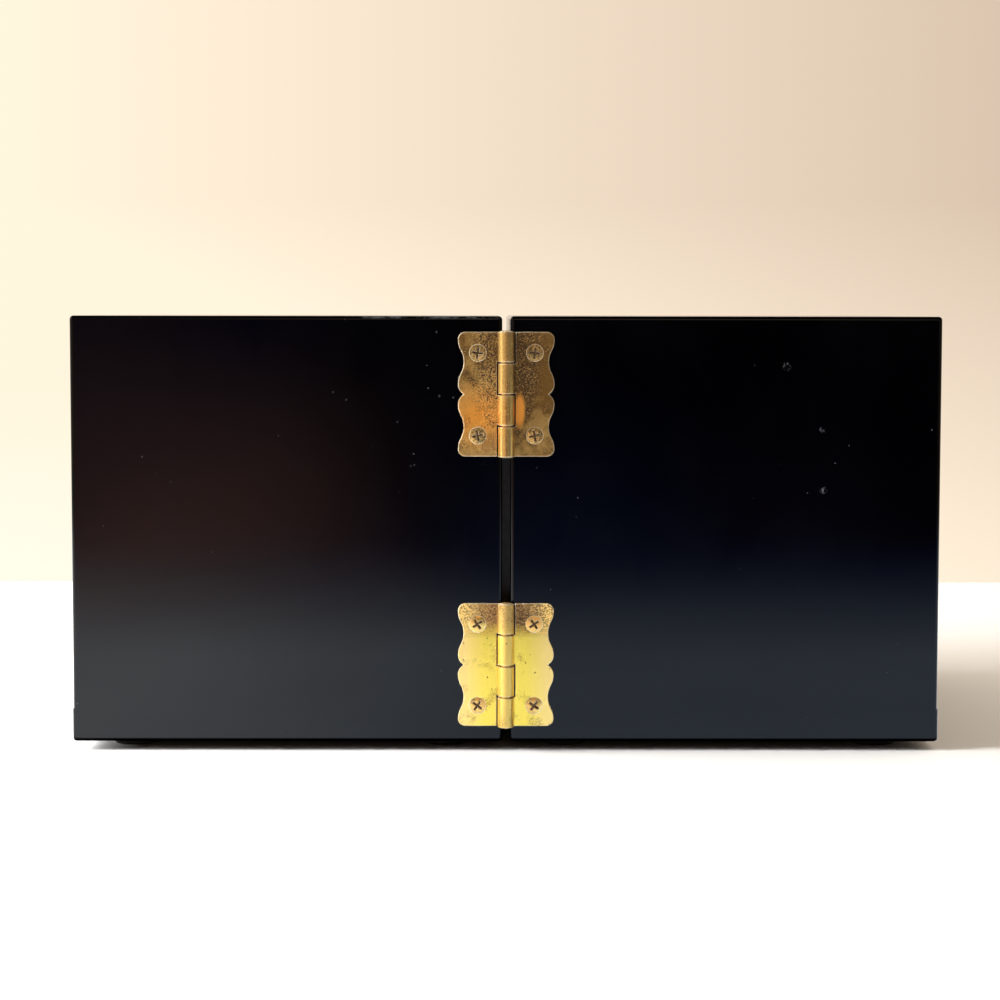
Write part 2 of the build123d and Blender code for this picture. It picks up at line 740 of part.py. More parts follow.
wall_z = (base_top + lining, roof)
lining_ends = (lining_x, inner_side)
keep("right_floor_lining", board(lining_ends, (back_inside, front_inside), (base_top, base_top + lining)))
keep("right_back_lining", board(lining_ends, (back_inside, back_inside + lining), wall_z))
keep("right_front_lining", board(lining_ends, (front_inside - lining, front_inside), wall_z))
keep("right_side_lining", board((card_face, inner_side), rail_ends, wall_z))
keep("mirror_glass", mirror_glass())
keep("mirror_frame", mirror_frame())
keep("necklace_rail", necklace_rail())
keep("necklace_hooks", together([necklace_hook(y) for y in hook_ys]))
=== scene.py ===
# %% [markdown]
# # A lacquered jewelry box that opens like a book
#
# The box is two deep black half-cases joined at the back by two scalloped brass hinges. One half
# holds three velvet drawers, the other is a narrow wardrobe for necklaces with a mirror. The solids
# come from the CAD frame and keep their places. This lesson dresses them: lacquer, tarnished brass,
# velvet and glass, then a pale table and soft light from the left.

# %% Load the frame
import json
import math
import random

import bmesh
import bpy
from mathutils import Matrix, Vector

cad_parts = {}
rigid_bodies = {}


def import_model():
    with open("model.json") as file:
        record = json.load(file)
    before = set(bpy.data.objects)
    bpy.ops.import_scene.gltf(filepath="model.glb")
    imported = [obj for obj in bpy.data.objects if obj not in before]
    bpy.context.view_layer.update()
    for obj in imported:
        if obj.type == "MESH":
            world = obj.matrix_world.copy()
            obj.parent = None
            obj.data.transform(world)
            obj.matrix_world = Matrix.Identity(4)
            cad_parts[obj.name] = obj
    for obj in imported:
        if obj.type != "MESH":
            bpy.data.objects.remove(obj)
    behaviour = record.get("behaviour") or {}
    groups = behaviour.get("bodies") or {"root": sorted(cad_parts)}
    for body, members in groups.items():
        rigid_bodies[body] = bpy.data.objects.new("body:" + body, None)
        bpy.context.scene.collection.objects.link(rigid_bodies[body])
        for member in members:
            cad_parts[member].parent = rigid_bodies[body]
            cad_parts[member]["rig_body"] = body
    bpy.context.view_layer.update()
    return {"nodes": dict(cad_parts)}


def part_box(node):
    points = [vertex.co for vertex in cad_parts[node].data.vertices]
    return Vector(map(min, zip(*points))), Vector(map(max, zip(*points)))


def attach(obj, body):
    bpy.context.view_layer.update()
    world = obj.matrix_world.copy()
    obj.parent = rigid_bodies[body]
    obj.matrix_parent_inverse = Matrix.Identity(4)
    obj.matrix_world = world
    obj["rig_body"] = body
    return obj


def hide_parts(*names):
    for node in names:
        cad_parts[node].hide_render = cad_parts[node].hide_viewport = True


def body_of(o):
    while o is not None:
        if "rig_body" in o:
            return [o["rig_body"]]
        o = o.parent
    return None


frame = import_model()
nodes = frame["nodes"]
mm = 0.001

# %% [markdown]
# ## The camera
#
# The photograph looks at the back of the closed box from almost straight on, with a long lens a
# little above the lid: only a hair of the top shows. A sharp look through the slit between the two
# halves tells that the lens stands in line with the slit. The camera is therefore placed by its
# heading, its tilt and its distance from the back faces, rather than moved about by eye.

# %% Camera
lens_mm, sensor_mm = 90, 36
heading, tilt, roll = math.radians(0.3), math.radians(4.32), math.radians(0.09)
distance = 801.1 * mm
back_plane = -88.3 * mm
target = Vector((-1.95 * mm, back_plane, 81.22 * mm))

forward = Vector((math.sin(heading) * math.cos(tilt), math.cos(heading) * math.cos(tilt), -math.sin(tilt)))
level = Vector((math.cos(heading), -math.sin(heading), 0))
upright = level.cross(forward)
across = level * math.cos(roll) + upright * math.sin(roll)
up = upright * math.cos(roll) - level * math.sin(roll)

camera = bpy.data.objects.new("camera", bpy.data.cameras.new("camera"))
bpy.context.collection.objects.link(camera)
camera.data.lens, camera.data.sensor_width = lens_mm, sensor_mm
camera.data.clip_start, camera.data.clip_end = 0.01, 20
camera.matrix_world = Matrix.Translation(target - forward * distance) @ Matrix(
    (across, up, -forward)).transposed().to_4x4()
bpy.context.scene.camera = camera
print("camera stands", round(camera.location.z / mm), "mm above the table")

# %% [markdown]
# ## Writing shader maths as sums
#
# Every finish below is made of masks: where the tarnish sits, where dust lies, where the pile of the
# velvet leans. Masks are plain arithmetic, so one small class lets a socket take part in a Python
# expression. Each operator adds one Math node.

# %% A socket that can be added and multiplied
class Wire:
    """One output of a node. Each operator on it adds a Math node to the same tree."""

    def __init__(self, shade, socket):
        self.shade, self.socket = shade, socket

    def maths(self, operation, first, second, clamp=False):
        return self.shade.add("ShaderNodeMath", {"operation": operation, "use_clamp": clamp}, {
            0: first, 1: second})

    def __add__(self, other):
        return self.maths("ADD", self, other)

    def __radd__(self, other):
        return self.maths("ADD", other, self)

    def __sub__(self, other):
        return self.maths("SUBTRACT", self, other)

    def __rsub__(self, other):
        return self.maths("SUBTRACT", other, self)

    def __mul__(self, other):
        return self.maths("MULTIPLY", self, other)

    def __rmul__(self, other):
        return self.maths("MULTIPLY", other, self)

    def larger(self, other):
        return self.maths("MAXIMUM", self, other)

    def clamped(self):
        return self.maths("ADD", self, 0.0, clamp=True)

    def ramp(self, low, high):
        """0 below low, 1 above high and straight between; low may be the larger one."""
        return ((self - low) * (1 / (high - low))).clamped()

    def sibling(self, name):
        """Another output of the node that this one comes from."""
        return Wire(self.shade, self.socket.node.outputs[name])


def offers(kind):
    return [name for name in vars(kind) if not name.startswith("__")]


print("a wire offers + - * and", offers(Wire))

# %% [markdown]
# ## One way to make a node
#
# A shader tree is easier to read when all its nodes are made alike. The method below takes the kind
# of node, its settings, and what goes into its sockets: a plain value, or a wire from another node.
# The same class serves the materials and the room around the box.

# %% A tree of shader nodes
class Shade:
    """A node tree that is filled through its add method."""

    def __init__(self, tree, coordinates):
        self.tree = tree
        self.place = self.add("ShaderNodeTexCoord", {}, {}, coordinates)

    def add(self, kind, settings, sockets, output=0):
        node = self.tree.nodes.new(kind)
        for name, value in settings.items():
            setattr(node, name, value)
        for name, value in sockets.items():
            self.give(node.inputs[name], value)
        return Wire(self, node.outputs[output])

    def give(self, slot, value):
        if isinstance(value, Wire):
            self.tree.links.new(value.socket, slot)
        elif slot.type == "RGBA":
            slot.default_value = (*value, 1)
        else:
            slot.default_value = value

    def mix(self, mask, below, above):
        """Colour below where the mask is 0, above where it is 1."""
        return self.add("ShaderNodeMix", {"data_type": "RGBA"}, {0: mask, 6: below, 7: above}, 2)

    def together(self, first, second):
        """Two colours added."""
        return self.add("ShaderNodeVectorMath", {"operation": "ADD"}, {0: first, 1: second})

    def near(self, point, radius):
        """1 at a point, fading to 0 at the radius."""
        away = self.add("ShaderNodeVectorMath", {"operation": "DISTANCE"}, {
            0: self.place, 1: point}, "Value")
        return away.ramp(radius, 0)


print("a tree offers", offers(Shade))

# %% [markdown]
# ## A finish in the making
#
# A finish is one Principled shader. What stays the same all over is set on the shader's own sockets.
# What changes over the surface comes from the place on the piece: noise for clouds and grain, dots
# for dust, and the rims, which a Bevel node finds by how far it turns the normal.

# %% A finish round one Principled shader
class Finish(Shade):
    """A material whose changes over the surface follow the place on the piece, in metres."""

    def __init__(self, name, constants):
        self.material = bpy.data.materials.new(name)
        self.material.use_nodes = True
        super().__init__(self.material.node_tree, "Object")
        self.shader = self.tree.nodes["Principled BSDF"]
        self.feed(constants)
        split = self.add("ShaderNodeSeparateXYZ", {}, {0: self.place})
        self.x, self.y, self.z = (split.sibling(axis) for axis in "XYZ")

    def feed(self, values):
        for name, value in values.items():
            self.give(self.shader.inputs[name], value)

    def stretched(self, x, y, z):
        """The place on the piece with each direction multiplied."""
        return self.add("ShaderNodeVectorMath", {"operation": "MULTIPLY"}, {0: self.place, 1: (x, y, z)})

    def noise(self, per_metre, detail=3, roughness=0.5, where=None):
        return self.add("ShaderNodeTexNoise", {"noise_dimensions": "3D"}, {
            "Vector": where or self.place, "Scale": per_metre, "Detail": detail, "Roughness": roughness})

    def specks(self, per_metre, size, share):
        """Round dots: each cell has one, only a share of the cells shows it, and no two are alike."""
        from_middle = self.add("ShaderNodeTexVoronoi", {}, {"Vector": self.place, "Scale": per_metre})
        lot = self.add("ShaderNodeSeparateColor", {}, {0: from_middle.sibling("Color")})
        reach = size * (0.45 + lot * (0.55 / share))
        return (reach - from_middle).ramp(0.0, size * 0.3) * lot.ramp(share + 0.001, share)

    def rims(self, width):
        """1 on the rounded rims and 0 on the open faces."""
        rounded = self.add("ShaderNodeBevel", {"samples": 4}, {"Radius": width})
        straight = self.add("ShaderNodeNewGeometry", {}, {}, "True Normal")
        agreement = self.add("ShaderNodeVectorMath", {"operation": "DOT_PRODUCT"}, {
            0: rounded, 1: straight}, "Value")
        return agreement.ramp(0.995, 0.90)

    def bump(self, height, depth):
        return self.add("ShaderNodeBump", {}, {"Height": height, "Distance": depth})


print("a finish adds", offers(Finish))

# %% [markdown]
# ## Black lacquer
#
# The boards are sprayed black and polished, so almost all that is seen is reflection. A true black
# under a smooth gloss does most of it. What makes it real is small: faint smears where it was
# wiped, the slow waves of a sprayed coat, and pale dust. The coat is a function, because the boards
# that carry marks of their own are made from it too.

# %% Black lacquer
def lacquer(name, dents=(), worn=None):
    """A dent has an x, a z and a radius in mm, on the back plane; worn turns the finish into a mask."""
    finish = Finish(name, {"IOR": 1.35, "Specular Tint": (0.95, 0.98, 1.0)})
    smear = finish.noise(26, 4, 0.62, finish.stretched(1, 1, 0.45)).ramp(0.42, 0.72)
    pale = finish.specks(230, 0.065, 0.35) * finish.noise(30, 2).ramp(0.42, 0.52) * 0.37
    height = finish.noise(60, 2, 0.4) + pale
    broken = finish.noise(1500, 3, 0.75, finish.stretched(1, 1, 0.6)).ramp(0.52, 0.58)
    for x, z, radius in dents:
        hollow = finish.near((x * mm, back_plane, z * mm), radius * mm)
        pale = pale.larger(hollow.ramp(0.0, 0.7) * broken * 0.7)
        height = height - hollow * broken * 4
    if worn:
        pale = pale.larger(worn(finish))
    colour = finish.mix(smear, (0.0002, 0.0002, 0.0005), (0.0007, 0.0007, 0.0012))
    finish.feed({
        "Base Color": finish.mix(pale, colour, (0.17, 0.19, 0.22)),
        "Roughness": 0.09 + smear * 0.05 + pale * 0.6,
        "Normal": finish.bump(height, 0.015 * mm)})
    return finish


black_lacquer = lacquer("black_lacquer")
print("lacquer nodes:", len(black_lacquer.tree.nodes))

# %% [markdown]
# ## Boards with marks of their own
#
# The box has lived: there are three little dents in the right-hand back board, fine nicks beside the
# upper hinge, and a worn stretch along the left top edge with one knock under it. They are too fine
# for the mesh, so they are pale marks in the coat, and the dents are hollows in its bump as well.
# Each sits at one place on one board, so each of those boards gets a lacquer of its own.

# %% Dents, nicks and a worn edge
dents = ((89.6, 124.2, 1.7), (101.2, 103.8, 1.1), (101.7, 84.5, 1.3))
nicks = ((-25.0, 117.0, 0.22), (-21.4, 114.5, 0.22), (-16.9, 114.0, 0.20), (-34.8, 106.2, 0.12),
         (-29.6, 96.0, 0.20), (-29.4, 92.4, 0.12), (-30.5, 92.1, 0.10))
nick_radius = 0.5 * mm


def nick(finish, x, z, strength):
    return finish.near((x * mm, back_plane, z * mm), nick_radius).ramp(0.1, 0.8) * strength


def nicked(finish):
    marks = 0.0
    for x, z, strength in nicks:
        marks = nick(finish, x, z, strength) + marks
    return marks


def worn_along_the_edge(finish):
    hindmost = finish.y.ramp(back_plane + 0.9 * mm, back_plane + 0.5 * mm)
    edge = finish.z.ramp(139.0 * mm, 139.5 * mm) * hindmost
    stretch = finish.x.ramp(-47 * mm, -44 * mm) * finish.x.ramp(-1 * mm, -8 * mm)
    dashes = finish.noise(700, 3, 0.7, finish.stretched(0.4, 1, 1)).ramp(0.46, 0.60)
    return edge * stretch * dashes * 0.3 + nick(finish, -22.3, 134.9, 0.26)


lacquer_of_board = {
    "right_back_board": lacquer("black_lacquer_dented", dents),
    "left_back_board": lacquer("black_lacquer_nicked", worn=nicked),
    "left_top_board": lacquer("black_lacquer_worn", worn=worn_along_the_edge)}
print("dents:", len(dents), "nicks:", len(nicks), "boards with marks:", sorted(lacquer_of_board))

# %% [markdown]
# ## Stained wood
#
# Inside, the frames, shelves and guides are only stained, so the grain shows as fine long lines. A
# noise that is stretched along the grain gives both the colour and the tiny ridges.

# %% Black stained wood
stained = Finish("black_stained_wood", {"IOR": 1.5})
grain = stained.noise(220, 5, 0.65, stained.stretched(2.6, 0.12, 2.6))
pores = stained.noise(900, 2, 0.5, stained.stretched(2.0, 0.06, 2.0)).ramp(0.58, 0.72)
stained.feed({
    "Base Color": stained.mix(grain.ramp(0.35, 0.7), (0.012, 0.010, 0.010), (0.040, 0.034, 0.032)),
    "Roughness": 0.42 + grain * 0.22,
    "Normal": stained.bump(grain - pores * 0.6, 0.06 * mm)})
print("stained wood nodes:", len(stained.tree.nodes))

# %% [markdown]
# ## Brass
#
# The hinges are thin stamped brass. Air has browned them in speckles: the upper one everywhere, the
# lower one only along its top edge. Tarnish is less metallic and duller than clean brass, so one
# mask drives colour, metal and roughness together. Rolling and polishing leave fine scratches. The
# rims are painted pale: a painted highlight along the rounded rims, with some wear from handling.
# Bright grains in the tarnish are painted glints.

# %% Brass, from clean to tarnished
# Widths of the painted rim highlights.
hinge_rim_highlight, fitting_rim_highlight, screw_rim_highlight = 0.45 * mm, 0.3 * mm, 0.12 * mm


def brass(name, clean, warm, browned, tint_masks, rim_highlight_width):
    """aged gives three masks from the finish and a cloud: warm tint, brown veil, crowd of specks."""
    finish = Finish(name, {"IOR": 1.5})
    cloud = finish.noise(150, 3, 0.55)
    warmth, veil, crowd = tint_masks(finish, cloud)
    grains = finish.noise(2300, 3, 0.75)
    spots = (grains.ramp(0.49, 0.55) * crowd).larger(finish.specks(650, 0.24, 0.16) * 0.8)
    # Painted glints: bright grains in the tarnish.
    glints = grains.ramp(0.43, 0.38) * crowd
    scratches = finish.noise(1500, 2, 0.6, finish.stretched(1, 1, 0.05))
    tint = finish.mix(warmth, finish.mix(veil, clean, browned), warm)
    tint = finish.mix(glints * 0.45, tint, (1.0, 0.72, 0.30))
    tint = finish.mix(spots, tint, (0.045, 0.021, 0.007))
    # Pale rims: a painted highlight along the rounded rims, with some wear from handling.
    rim = finish.rims(rim_highlight_width)
    finish.feed({
        "Base Color": finish.mix(rim * 0.9, tint, (0.95, 0.86, 0.66)),
        "Metallic": 1.0 - veil * 0.35 - warmth * 0.15 - spots * 0.4 - rim * 0.4,
        "Roughness": 0.18 + veil * 0.24 + spots * 0.2 + scratches * 0.08 + rim * 0.15,
        "Normal": finish.bump(scratches * 0.3 - grains * crowd * 2.2 + cloud * 0.4, 0.05 * mm)})
    return finish


print("pale rims, in mm:", [round(width / mm, 2) for width in (hinge_rim_highlight, fitting_rim_highlight, screw_rim_highlight)])

# %% [markdown]
# ## Where each piece has browned, and where light is painted
#
# The masks follow the piece: heights are measured from the table, and the hinges are centred on x = 0,
# so the square of x tells how far a point lies from the barrel, on either side. A cloud of noise
# breaks up every border. On the upper hinge a round patch on the left leaf stays warm and almost free
# of specks, and a warm crescent right of the barrel is a painted reflection. The right side of the
# upper hinge is browner as painted shade, and the barrel of the lower one is painted duller, as
# painted shade that tones down its highlight.

# %% Masks for the tarnish and the painted light
barrel_core, barrel_rim = (2.2 * mm) ** 2, (3.0 * mm) ** 2


def browned_with_painted_light(finish, cloud):
    """The upper hinge: brown specks all over, crowding beside the barrel, duller towards the top, with
    painted shade on the right and a painted reflection in a warm arc.
    """
    top = finish.z.ramp(107 * mm, 130 * mm)
    # Painted shade: the right side of the hinge is browner and duller.
    painted_shade_on_the_right = finish.x.ramp(0.8 * mm, 3.2 * mm) * (0.4 + finish.z.ramp(100 * mm, 116 * mm) * 0.6)
    squared = finish.x * finish.x
    off_barrel = squared.ramp(barrel_core, barrel_rim)
    beside_barrel = squared.ramp((12 * mm) ** 2, (6 * mm) ** 2) * off_barrel
    # Painted reflection: a warm crescent right of the barrel, less metallic and free of specks.
    sideways, upwards = (finish.x - 4.1 * mm) * (1 / (2.3 * mm)), (finish.z - 110 * mm) * (1 / (6.5 * mm))
    painted_reflection_crescent = (sideways * sideways + upwards * upwards).ramp(1.0, 0.3)
    warmth = (finish.near((-9 * mm, back_plane, 108 * mm), 12 * mm) * 1.2).clamped().larger(painted_reflection_crescent)
    veil = (0.2 + cloud.ramp(0.42, 0.60) * 0.5 + top * 0.6) * (0.4 + off_barrel * 0.6) + painted_shade_on_the_right * 0.6
    crowd = beside_barrel * finish.z.ramp(100 * mm, 116 * mm) + cloud.ramp(0.50, 0.64) * off_barrel * 0.8
    return warmth, veil.clamped(), (crowd + top * 0.3 - painted_reflection_crescent * 1.5).clamped()


def browned_along_the_top(finish, cloud):
    """The lower hinge: bright, with brown only along its top edge, and a barrel painted duller as painted
    shade.
    """
    squared = finish.x * finish.x
    # The barrel is painted duller and warmer: painted shade that tones down its highlight.
    on_barrel = squared.ramp(barrel_rim, barrel_core)
    top = finish.z.ramp(37 * mm, 43 * mm) * cloud.ramp(0.15, 0.40) * (1 - on_barrel * 0.6)
    warmth = squared.ramp((6.5 * mm) ** 2, (13 * mm) ** 2).larger(on_barrel * 0.35)
    crowd = top * 0.8 + cloud.ramp(0.54, 0.68) * 0.45
    return warmth, (top * 1.2 + cloud.ramp(0.60, 0.80) * 0.25 + on_barrel * 0.4).clamped(), crowd.clamped()


def browned_and_shaded_in_the_recess(finish, cloud):
    """The hinge screws: painted shade in their crosses, and the upper four browned as well."""
    # Painted shade: the crosses darken the deeper they go.
    deep = finish.y.ramp(back_plane - 0.95 * mm, back_plane - 0.65 * mm)
    upper = finish.z.ramp(60 * mm, 80 * mm)
    dull = (cloud.ramp(0.45, 0.70) * 0.5 + upper * 0.55 + 0.1).clamped().larger(deep)
    return cloud.ramp(0.45, 0.60) * (1 - deep), dull, (deep * 0.8).larger(upper * 0.8)


def browned_a_little(finish, cloud):
    """Knobs, clasp and the other screws."""
    warmth = finish.noise(70, 2, 0.5).ramp(0.42, 0.62)
    return warmth, cloud.ramp(0.45, 0.85) * 0.5, cloud.ramp(0.58, 0.70) * 0.4


print("the barrel fades out between", [round(math.sqrt(v) / mm, 1) for v in (barrel_core, barrel_rim)], "mm")

# %% [markdown]
# ## The five kinds
#
# Each kind has its clean colour, a warmer tint, the brown of its tarnish, and the masks that say
# where these lie. Screws are small, so their painted rim highlights are narrower.

# %% Five kinds of brass
upper_brass = brass("hinge_brass_upper", (0.98, 0.63, 0.20), (1.0, 0.42, 0.06), (0.19, 0.095, 0.016),
                    browned_with_painted_light, hinge_rim_highlight)
lower_brass = brass("hinge_brass_lower", (1.0, 0.69, 0.10), (1.0, 0.67, 0.20), (0.38, 0.20, 0.065),
                    browned_along_the_top, hinge_rim_highlight)
hinge_screw_brass = brass("screw_brass_of_hinges", (1.0, 0.68, 0.20), (0.95, 0.56, 0.16), (0.13, 0.06, 0.018),
                          browned_and_shaded_in_the_recess, screw_rim_highlight)
screw_brass = brass("screw_brass", (0.98, 0.70, 0.26), (0.95, 0.62, 0.22), (0.45, 0.26, 0.10),
                    browned_a_little, screw_rim_highlight)
fittings_brass = brass("fittings_brass", (0.93, 0.70, 0.31), (0.90, 0.64, 0.26), (0.62, 0.40, 0.17),
                       browned_a_little, fitting_rim_highlight)
for kind in (upper_brass, lower_brass, hinge_screw_brass, screw_brass, fittings_brass):
    print(kind.material.name, len(kind.tree.nodes), "nodes")

# %% [markdown]
# ## Velvet, felt and glass
#
# Velvet is pile that leans one way here and another there. Its look has three parts: deep red at
# the foot of the pile, a soft glow at grazing angles from the Sheen sockets, and lighter and darker
# patches where it was brushed. The felt under the feet is plain black wool.

# %% Velvet, felt and mirror
def pile(name, foot, tip, fibres_per_metre):
    finish = Finish(name, {
        "Roughness": 0.92, "Sheen Weight": 0.7, "Sheen Roughness": 0.35,
        "Sheen Tint": tuple(min(1, 0.35 + 1.4 * c) for c in tip), "IOR": 1.35})
    brushed = finish.noise(16, 2, 0.5)
    fibres = finish.noise(fibres_per_metre, 2, 0.7)
    colour = finish.mix(0.35 + brushed.ramp(0.3, 0.7) * 0.5, foot, tip)
    finish.feed({
        "Base Color": finish.mix(fibres.ramp(0.55, 0.3) * 0.45, colour, foot),
        "Normal": finish.bump(fibres + brushed * 0.5, 0.2 * mm)})
    return finish


velvet_lining = pile("velvet_lining", (0.115, 0.004, 0.008), (0.36, 0.018, 0.030), 2600)
velvet_roll = pile("velvet_roll", (0.130, 0.005, 0.010), (0.40, 0.022, 0.035), 2600)
felt = pile("felt", (0.010, 0.010, 0.011), (0.045, 0.044, 0.043), 3200)
mirror = Finish("mirror", {"Metallic": 1.0, "Base Color": (0.90, 0.92, 0.92)})
mirror.feed({"Roughness": 0.012 + mirror.noise(30, 3).ramp(0.5, 0.8) * 0.03})
print("pile finishes:", velvet_lining.material.name, velvet_roll.material.name, felt.material.name)

# %% [markdown]
# ## Dressing the CAD pieces
#
# Each CAD piece names the slot of its finish, so one table turns slots into materials. The hinges
# are the exception: upper and lower have aged differently, the upper one also carries painted shade
# and a painted reflection, and the crosses of their screws are painted dark as painted shade. So are
# the boards that are dented, nicked or worn.

# %% Give every piece its finish
finish_of_slot = {
    "black_lacquer": black_lacquer, "black_stained_wood": stained, "hinge_brass": lower_brass,
    "screw_brass": screw_brass, "fittings_brass": fittings_brass, "velvet_lining": velvet_lining,
    "velvet_roll": velvet_roll, "felt": felt, "mirror": mirror}
slot_of_node = {name: piece.material_slots[0].material.name.split(".")[0] for name, piece in nodes.items()}
for name, piece in nodes.items():
    finish = finish_of_slot[slot_of_node[name]]
    if name.startswith("upper_hinge"):
        finish = upper_brass
    if name.endswith("hinge_screws"):
        finish = hinge_screw_brass
    finish = lacquer_of_board.get(name, finish)
    for slot in piece.material_slots:
        slot.material = finish.material
print("finishes used:", sorted(set(slot_of_node.values())))

# %% [markdown]
# ## Rounded rims
#
# Stamped and turned brass has no knife edges: the light catches a thin bright line along every rim,
# and that line is what draws the scallops and the knuckles in the photograph. The CAD mesh stays as
# it is. A Weld modifier joins its corners, a Decimate modifier gathers its triangles into whole flat
# faces, and a Bevel modifier rounds the sharp edges. Splitting at the countersinks and weighting the
# normals by area keeps the flat faces free of false shading.

# %% Round the rims of the brass
rim_radius = {"hinge_brass": 0.22 * mm, "fittings_brass": 0.15 * mm, "screw_brass": 0.05 * mm}


def rounded_rims(name, radius):
    piece = nodes[name]
    weld = piece.modifiers.new("joined_corners", "WELD")
    weld.merge_threshold = 0.002 * mm
    whole = piece.modifiers.new("whole_faces", "DECIMATE")
    whole.decimate_type, whole.angle_limit = "DISSOLVE", math.radians(0.5)
    rim = piece.modifiers.new("rounded_rim", "BEVEL")
    rim.width, rim.segments, rim.limit_method = radius, 3, "ANGLE"
    rim.angle_limit = math.radians(75)
    rim.use_clamp_overlap = False
    crease = piece.modifiers.new("sharp_countersinks", "EDGE_SPLIT")
    crease.split_angle = math.radians(36)
    piece.modifiers.new("even_shading", "WEIGHTED_NORMAL").weight = 100


for name, slot_name in slot_of_node.items():
    if slot_name in rim_radius:
        rounded_rims(name, rim_radius[slot_name])
print("rounded:", sum(slot_name in rim_radius for slot_name in slot_of_node.values()), "pieces")

# %% [markdown]
# ## From a form to a piece
#
# Cloth is made as a form of its own and stands in for a plain CAD solid. A form is built from rows of
# points, with faces between one row and the next. Each ends the same way: its faces are turned
# outwards and smoothed, it takes a finish, and it rides on the body of the solid that it replaces.

# %% Join rows of points, and finish a soft form
def bridge(form, first, second):
    for i in range(len(first) - 1):
        form.faces.new((first[i], first[i + 1], second[i + 1], second[i]))


def bridge_rings(form, first, second):
    """As bridge, and closed between the last point and the first."""
    bridge(form, first + first[:1], second + second[:1])


def soft_piece(form, name, finish, stands_for):
    bmesh.ops.recalc_face_normals(form, faces=form.faces[:])
    mesh = bpy.data.meshes.new(name)
    form.to_mesh(mesh)
    form.free()
    for face in mesh.polygons:
        face.use_smooth = True
    mesh.materials.append(finish.material)
    piece = bpy.data.objects.new(name, mesh)
    bpy.context.collection.objects.link(piece)
    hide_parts(stands_for)
    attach(piece, body_of(nodes[stands_for])[0])
    print(name, len(mesh.polygons), "faces")
    return piece


print("velvet pieces to make:", sum(slot.startswith("velvet") for slot in slot_of_node.values()))

# %% [markdown]
# ## Velvet-covered linings
#
# Each compartment is lined with thin card wrapped in velvet, pushed in after the lacquer dried. The
# cloth rounds off at the rim, where it is pulled over the card, and the middle lies flat with a
# slight unevenness. A grid with close rows near the rim shows that roll-over without many faces.

# %% Rows of the grid, and how uneven the cloth lies
near_rim = [0, 0.25 * mm, 0.6 * mm, 1.1 * mm, 1.9 * mm, 3.2 * mm]
row_step = 7 * mm


def rows(length):
    """Places along one side, close together near both ends, in metres."""
    start, open_length = near_rim[-1], length - 2 * near_rim[-1]
    steps = max(2, round(open_length / row_step))
    middle = [start + open_length * i / steps for i in range(1, steps)]
    return near_rim + middle + [length - place for place in reversed(near_rim)]


def unevenness(a, b, seed):
    waves = ((0.11, 0.09), (0.23, 0.31), (0.47, 0.38))
    return sum(math.sin(a * f / mm + seed * k) * math.sin(b * g / mm + seed * k * 1.7)
               for k, (f, g) in enumerate(waves, 1)) / len(waves)


print("rows on a side of 100 mm:", len(rows(100 * mm)))

# %% [markdown]
# ## Wrapping a card
#
# Each lining gets a sheet of points on the side that shows, which drops by half a millimetre at the
# rim. Straight walls go down from its edge to the card's back, and one flat face closes it. The form
# stays inside the CAD solid, so it can't touch what that solid doesn't touch.

# %% Walls and a flat back below a sheet of points
def close_below(form, sheet, axis, back):
    top, bottom = sheet[0], sheet[-1]
    edge = top + [line[-1] for line in sheet[1:]] + bottom[-2::-1] + [line[0] for line in sheet[-2:0:-1]]
    under = []
    for vertex in edge:
        point = vertex.co.copy()
        point[axis] = back
        under.append(form.verts.new(point))
    bridge_rings(form, edge, under)
    form.faces.new(under)


# %% A wrapped card in place of each flat lining
rim_drop, rim_reach, wave_height = 0.55 * mm, 0.9 * mm, 0.06 * mm


def wrapped_card(name, axis, outward, seed):
    """Stands in for a flat CAD lining; axis and outward give the side that shows."""
    low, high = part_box(name)
    side_a, side_b = [i for i in range(3) if i != axis]
    face, back = (high[axis], low[axis]) if outward > 0 else (low[axis], high[axis])
    along_a, along_b = rows(high[side_a] - low[side_a]), rows(high[side_b] - low[side_b])

    def corner(a, b, depth):
        point = [0.0, 0.0, 0.0]
        point[side_a], point[side_b], point[axis] = low[side_a] + a, low[side_b] + b, depth
        return form.verts.new(point)

    form = bmesh.new()
    sheet = []
    for a in along_a:
        line = []
        for b in along_b:
            from_rim = min(a, along_a[-1] - a, b, along_b[-1] - b)
            drop = rim_drop * math.exp(-from_rim / rim_reach) + wave_height * (1 + unevenness(a, b, seed))
            line.append(corner(a, b, face - outward * drop))
        sheet.append(line)
    for first, second in zip(sheet, sheet[1:]):
        bridge(form, first, second)
    close_below(form, sheet, axis, back)
    soft_piece(form, name + "_velvet", velvet_lining, name)


side_that_shows = {
    "bottom_drawer_lining": (2, 1), "middle_drawer_lining": (2, 1), "top_drawer_lining": (2, 1),
    "right_floor_lining": (2, 1), "right_back_lining": (1, 1), "right_front_lining": (1, -1),
    "right_side_lining": (0, -1)}
for seed, (name, (axis, outward)) in enumerate(side_that_shows.items(), 3):
    wrapped_card(name, axis, outward, seed)

# %% [markdown]
# ## The dividers
#
# The middle drawer is parted by one long and two cross dividers, notched into each other. They are
# card folded into velvet, so every edge is a soft fold. The notches make a grid awkward: here the
# CAD shape is cleaned into flat faces and all its edges are rounded.

# %% Folded velvet round the dividers
card_fold = 0.5 * mm


def folded_velvet(name, fold):
    form = bmesh.new()
    form.from_mesh(nodes[name].data)
    bmesh.ops.remove_doubles(form, verts=form.verts[:], dist=0.001 * mm)
    bmesh.ops.dissolve_limit(form, angle_limit=math.radians(2), verts=form.verts[:], edges=form.edges[:])
    bmesh.ops.bevel(form, geom=form.edges[:], offset=fold, segments=3, affect="EDGES", profile=0.5)
    soft_piece(form, name + "_velvet", velvet_lining, name)


